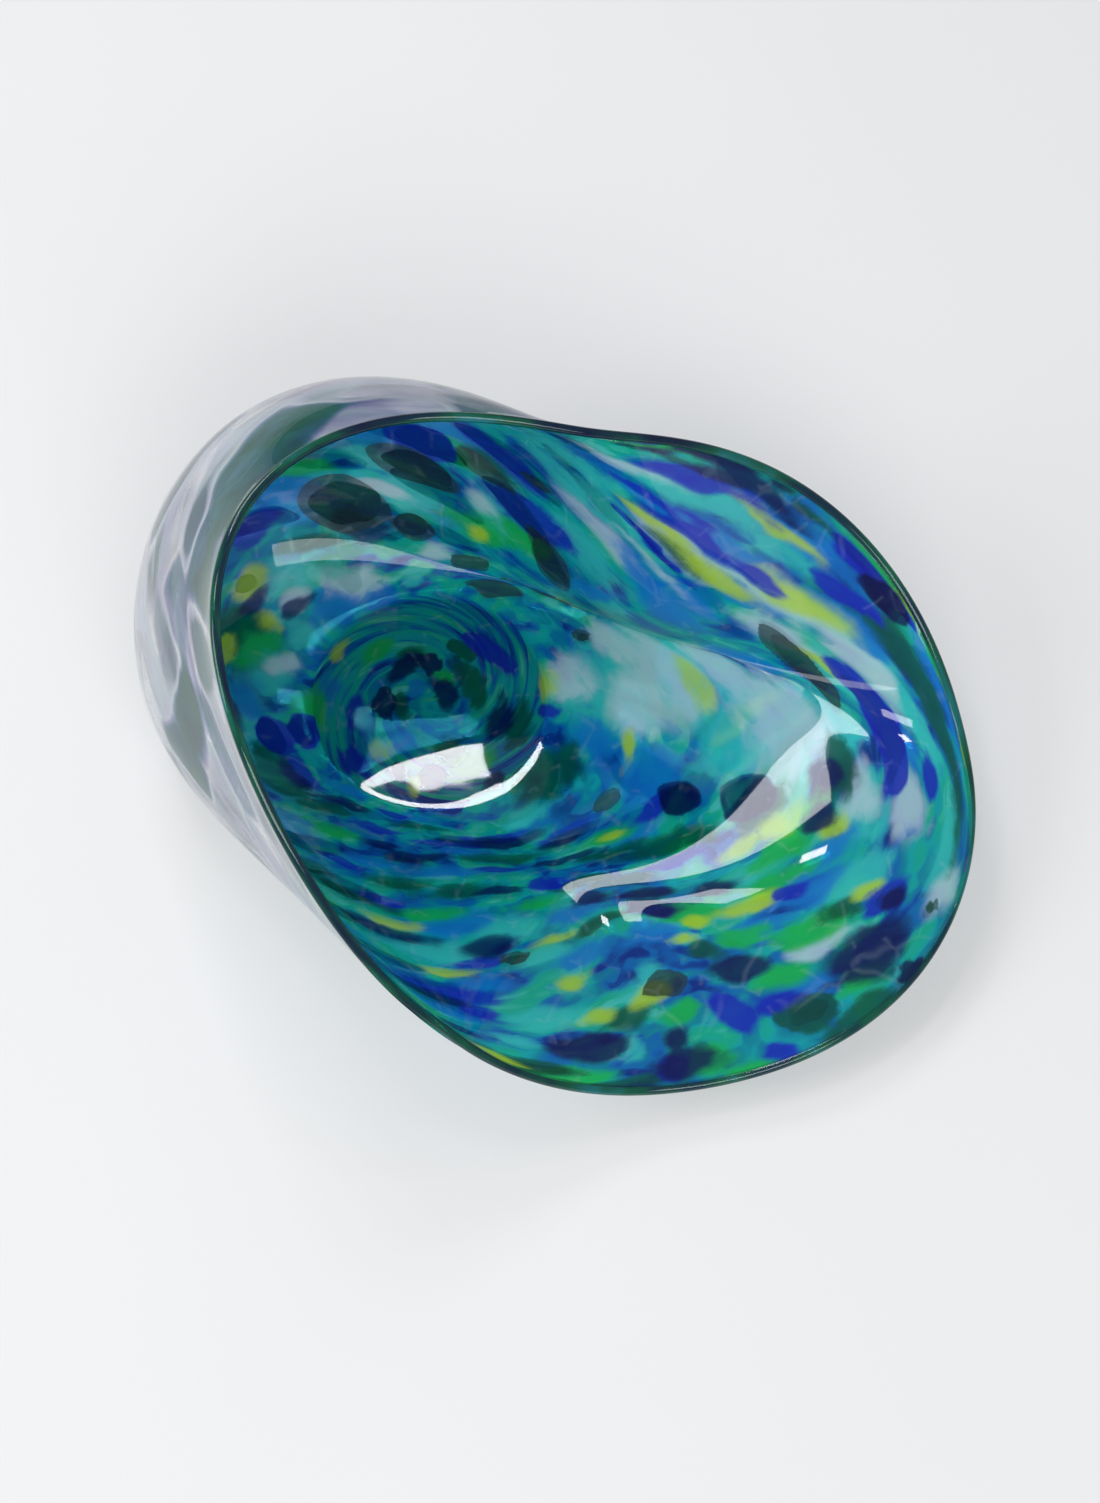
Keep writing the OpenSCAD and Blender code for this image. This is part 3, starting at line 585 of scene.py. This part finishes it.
def new_piece(name, points, faces, finish, attributes=None, smooth=True):
    """A mesh object at the origin, with three-number attributes for its material to read."""
    mesh = bpy.data.meshes.new(name)
    mesh.from_pydata(points.reshape(-1, 3).tolist(), [], faces)
    mesh.polygons.foreach_set("use_smooth", [smooth] * len(mesh.polygons))
    for key, values in (attributes or {}).items():
        layer = mesh.attributes.new(key, "FLOAT_VECTOR", "POINT")
        layer.data.foreach_set("vector", np.ascontiguousarray(values, dtype=np.float32).ravel())
    mesh.update()
    mesh.materials.append(finish)
    piece = bpy.data.objects.new(name, mesh)
    bpy.context.collection.objects.link(piece)
    return piece


def ring_faces(rows, sides):
    """Quads between neighbouring rings of points, each ring closed on itself."""
    row, side = np.meshgrid(np.arange(rows - 1), np.arange(sides), indexing="ij")
    after = (side + 1) % sides
    corners = [row * sides + side, row * sides + after,
               (row + 1) * sides + after, (row + 1) * sides + side]
    return np.stack(corners, -1).reshape(-1, 4)


def pods(rings, poles):
    """Closed surfaces: rows of rings, [pod, row, side], from a first pole to a last one."""
    count, rows, sides = rings.shape[:3]
    points = np.concatenate([rings.reshape(count, -1, 3), poles], 1)
    first = np.arange(sides)
    after = (first + 1) % sides
    last = (rows - 1) * sides
    pole = np.full(sides, rows * sides)
    first_cap = np.stack([after, first, pole], -1)
    last_cap = np.stack([first + last, after + last, pole + 1], -1)
    caps = np.concatenate([first_cap, last_cap])
    starts = (np.arange(count) * (rows * sides + 2))[:, None, None]
    bands = (ring_faces(rows, sides)[None] + starts).reshape(-1, 4)
    ends = (caps[None] + starts).reshape(-1, 3)
    return points, bands.tolist() + ends.tolist()


TURNS = 400
FLOOR_RISES = np.linspace(-0.96, -0.04, 18)
SIDE_RISES = np.linspace(0, 1, 90)
# How far the wall stops short of the rim's edge, inside the bead
TUCK = 1.2 * BEAD_R
# The reach on the outer face of the lustre and its painted reflection: its middle, half width and soft
# edge in degrees, and how fast it comes up from the foot
LUSTRE_AT = 160
LUSTRE_HALF = 70
LUSTRE_EDGE = 25
LUSTRE_RISE = 8


def wall_shell(finish):
    """Closed wall: the outer face up to the rim, then the inner face a wall's depth in, back down."""
    angle = np.arange(TURNS) * 360 / TURNS
    rises = np.concatenate([FLOOR_RISES, SIDE_RISES])
    turn, rise = np.meshgrid(angle, rises)
    sheets = [within(turn, rise, np.full(turn.shape, depth)) for depth in (0.0, 1.0)]
    for sheet in sheets:
        sheet[-1] -= TUCK * climb(angle, np.ones(TURNS))
    rings = np.concatenate([sheets[0], sheets[1][::-1]])[None]
    poles = np.array([[[0, 0, FOOT_H], [0, 0, FOOT_H + WALL_FOOT]]])
    points, faces = pods(rings, poles)
    turns = np.concatenate([turn.ravel(), turn.ravel(), [0, 0]])
    rises = np.concatenate([rise.ravel(), rise[::-1].ravel(), [-1, -1]])
    outer = np.concatenate([np.ones(turn.size), np.zeros(turn.size), [0, 0]])
    # Where the lustre lies, with its painted reflection: the outer face of the bulb
    sideways = np.clip((LUSTRE_HALF - np.abs(turns - LUSTRE_AT)) / LUSTRE_EDGE, 0, 1)
    lustre_and_reflection_mask = outer * sideways * np.clip(rises * LUSTRE_RISE, 0, 1)
    attributes = {"flow": flow(turns, rises), "face": np.stack([lustre_and_reflection_mask] * 3, -1)}
    for layer, kinds in LAYERS.items():
        attributes[layer] = np.stack([patch_field(kind, turns, rises) for kind in kinds], -1)
    return new_piece("cased_wall", points, faces, finish, attributes)


def rim_bead(finish):
    """A round section carried along the rim, a little fuller where the glass sagged.

    The last station lies on the first, and its faces are joined to that one's points.
    """
    stations = 720
    sides = 24
    angle = np.arange(stations + 1) * 360 / stations
    one = np.ones(stations + 1)
    up, side = climb(angle, one), inward(angle, one)
    radius = BEAD_R * waves(angle, 0.95, (3, 0.03, 40), (7, 0.02, 10))
    centre = rim_edge(angle) - BEAD_R * up + 0.5 * WALL_RIM * side
    around = np.radians(np.arange(sides) * 360 / sides)[None, :, None]
    spoke = np.cos(around) * side[:, None] + np.sin(around) * up[:, None]
    points = (centre[:, None] + radius[:, None, None] * spoke)[:-1]
    faces = ring_faces(stations + 1, sides) % (stations * sides)
    turn, height = np.broadcast_arrays(angle[:-1, None], 1 + 0.02 * np.cos(around[..., 0]))
    return new_piece("rim_bead", points, faces.tolist(), finish,
                     {"flow": flow(turn.ravel(), height.ravel())})


def foot_disc(finish):
    """A lathe-turned pad: flat underneath, round at its edges, flat on top where the wall sits."""
    sides = 180
    steps = 10
    edge = np.radians(np.linspace(-90, 90, 15))
    across = np.linspace(4 * MM, FOOT_R - FOOT_ROUND - MM, steps)
    r = np.concatenate([across, FOOT_R - FOOT_ROUND + FOOT_ROUND * np.cos(edge), across[::-1]])
    half = FOOT_H / 2 - FOOT_ROUND
    side = FOOT_H / 2 + half * np.sign(np.sin(edge)) + FOOT_ROUND * np.sin(edge)
    z = np.concatenate([np.zeros(steps), side, np.full(steps, FOOT_H)])
    turn = np.arange(sides) * 360 / sides
    rings = r[:, None, None] * outward(turn)[None] + z[:, None, None] * UP
    points, faces = pods(rings[None], np.array([[[0, 0, 0], [0, 0, FOOT_H]]]))
    return new_piece("foot_disc", points, faces, finish)


# Sides and rings of a chip, how far its outline wanders, and the highest that it reaches
CHIP_SIDES = 32
CHIP_RINGS = 5
CHIP_WANDER = 0.1
CHIP_TOP = 0.985


def chips(name, places, finish, depth_out, depth_in, seed, share=0.85):
    """Flat pebbles of glass that follow the wall, each with a wandering outline and a thin edge.

    They lie between two depths of the wall, and share is how much of its place each one fills.
    """
    spin = np.random.default_rng(seed)
    at, high, length, width, gain = (np.array(column, float)[:, None, None] for column in zip(*places))
    around = np.radians(np.arange(CHIP_SIDES) * 360 / CHIP_SIDES)[None, None, :]
    wander = np.ones_like(at + around)
    for lobes in (2, 3, 5):
        amount = spin.uniform(-CHIP_WANDER, CHIP_WANDER, at.shape)
        start = spin.uniform(0, 6.3, at.shape)
        wander += amount * np.cos(lobes * around + start)
    out = np.linspace(0.25, 1.0, CHIP_RINGS)
    ring = np.concatenate([out, out[::-1]])[None, :, None]
    inner = np.concatenate([np.ones(CHIP_RINGS), -np.ones(CHIP_RINGS)])[None, :, None]
    depth = (depth_out + depth_in) / 2 + (depth_in - depth_out) / 2 * inner * (1 - ring ** 3)
    u = share * ring * wander * np.cos(around)
    v = share * ring * wander * np.sin(around)
    turn, rise = at + u * length, high + v * width + u * gain / 2
    rings = within(turn, np.minimum(rise, CHIP_TOP), depth + 0 * turn)
    middle = [within(at[:, 0], high[:, 0], 0 * at[:, 0] + end) for end in (depth_in, depth_out)]
    points, faces = pods(rings, np.concatenate(middle, 1))
    flows = np.concatenate([flow(turn, rise).reshape(len(at), -1, 3),
                            np.repeat(flow(at[:, 0], high[:, 0]), 2, 1)], 1)
    return new_piece(name, points, faces, finish, {"flow": flows})


def pearl_places():
    """Lustre patches with their painted reflection, in staggered rows up the outside of the bulb, each
    drawn out along the wall.
    """
    spin = np.random.default_rng(31)
    rows = 6
    columns = 7
    apart = 22
    places = []
    for row in range(rows):
        for column in range(columns):
            angle = 90 + apart * column + apart / 2 * (row % 2) + spin.uniform(-3, 3)
            rise = 0.28 + 0.125 * row
            length = spin.uniform(7, 11)
            width = spin.uniform(0.022, 0.038)
            places.append((angle, rise, length, width, spin.uniform(-0.03, 0.03)))
    return places


def root(piece, slot, *nodes):
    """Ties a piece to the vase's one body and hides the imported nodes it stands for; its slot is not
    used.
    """
    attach(piece, "root")
    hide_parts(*nodes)


# Colours of the chips: the body's, and the one it drifts to
CHIP_TINTS = {
    "navy": ((0.006, 0.02, 0.13), (0.01, 0.05, 0.20)),
    "cobalt": ((0.02, 0.05, 0.62), (0.01, 0.03, 0.40)),
    "emerald": ((0.01, 0.25, 0.12), (0.02, 0.38, 0.20)),
    "lime": ((0.45, 0.70, 0.08), (0.60, 0.80, 0.20)),
    "smoke": ((0.10, 0.16, 0.14), (0.18, 0.26, 0.22)),
    "mint": ((0.75, 0.90, 0.86), (0.60, 0.80, 0.78)),
}

# Depths between which the chips and the lustre lie, as shares of the wall from its outer face
FRIT_OUT = 0.35
FRIT_IN = 0.85
LUSTRE_OUT = 0.04
LUSTRE_IN = 0.16
CHIP_SEED = 100
LUSTRE_SEED = 200

root(wall_shell(wall_finish()), "turquoise_glass", "outer_casing", "colour_coat", "inner_gather")
root(rim_bead(bead_finish()), "rim_glass", "lip_bead")
root(foot_disc(foot_finish()), "clear_glass", "foot_pad")
for order, (kind, places) in enumerate(CRISP.items()):
    material = chip_finish(kind + "_glass", *CHIP_TINTS[kind])
    root(chips(kind + "_chips", places, material, FRIT_OUT, FRIT_IN, CHIP_SEED + order),
         kind + "_glass", kind + "_frit")
# Pearl patches on the bulb: lustre, and a satin white that is a painted reflection of the light on the
# left
root(chips("pearl_chips", pearl_places(), pearl_and_reflection_finish(), LUSTRE_OUT, LUSTRE_IN, LUSTRE_SEED, 1.0),
     "pearl_lustre", "pearl_frit")

# ---------------------------------------------------------------- room


def glowing_table_finish():
    """Matt white table, very faintly mottled, with a faint glow that is painted light: it lifts the
    shade under the vase and lights the glass from below.
    """
    finish = Finish("table_white_glowing")
    mottle = finish.noise(finish.place(), 6.0, 2.0)
    colour = finish.ramp(mottle, (0.3, (0.52, 0.523, 0.527)), (0.7, (0.53, 0.533, 0.537)))
    # The glow is painted light, lifting the shade under the vase and lighting the glass from beneath
    return finish.done(finish.glass(colour, Roughness=0.6, Emission_Color=(1, 1, 1, 1),
                                    Emission_Strength=0.30))


def table_top():
    """A level table, far wider than the vase."""
    half = 2.5
    corners = np.array([[-half, -half, 0], [half, -half, 0], [half, half, 0], [-half, half, 0]])
    return new_piece("table", corners, [[0, 1, 2, 3]], glowing_table_finish(), smooth=False)


def softbox(name, place, target, width, depth, power, colour):
    """A rectangular lamp aimed at a point."""
    lamp = bpy.data.lights.new(name, "AREA")
    lamp.shape = "RECTANGLE"
    lamp.size = width
    lamp.size_y = depth
    lamp.energy = power
    lamp.color = colour
    holder = bpy.data.objects.new(name, lamp)
    holder.location = place
    way = np.array(target) - np.array(place)
    tip = math.acos(-way[2] / np.linalg.norm(way))
    holder.rotation_euler = (tip, 0, math.atan2(way[1], way[0]) - math.pi / 2)
    bpy.context.collection.objects.link(holder)


table_top()
softbox("back_softbox", (-0.42, 1.12, 1.35), (0.10, -0.05, 0.05), 0.50, 0.36, 6.0, (0.93, 0.93, 1.0))
softbox("top_softbox", (-0.056, 0.589, 1.30), (0.0, 0.0, 0.01), 0.10, 0.075, 0.6, (0.95, 0.95, 1.0))
softbox("side_softbox", (-0.34, 0.29, 1.30), (0.15, -0.05, 0.03), 0.22, 0.20, 1.5, (0.95, 0.95, 1.0))
softbox("left_softbox", (-1.5, -0.3, 1.2), (0.0, 0.0, 0.05), 1.0, 1.0, 15, (1.0, 1.0, 1.0))
softbox("front_softbox", (0.3, -1.5, 1.5), (0.0, 0.0, 0.05), 1.4, 0.9, 22, (1.0, 1.0, 1.0))

# Light from all round, and the camera: its lens, its place and its tilt off straight down
WORLD_LIGHT = 0.30
CAMERA_LENS = 85
CAMERA_PLACE = (0.0431, -0.5517, 1.1495)
CAMERA_TILT = 25

world = bpy.data.worlds.new("studio")
world.use_nodes = True
background = world.node_tree.nodes["Background"]
background.inputs["Color"].default_value = (0.97, 0.98, 1.0, 1)
background.inputs["Strength"].default_value = WORLD_LIGHT
bpy.context.scene.world = world
bpy.context.scene.view_settings.view_transform = "Standard"

lens = bpy.data.cameras.new("camera")
lens.lens = CAMERA_LENS
lens.sensor_width = 36
lens.clip_end = 20
camera = bpy.data.objects.new("camera", lens)
camera.location = CAMERA_PLACE
camera.rotation_euler = (math.radians(CAMERA_TILT), 0, 0)
bpy.context.collection.objects.link(camera)
bpy.context.scene.camera = camera
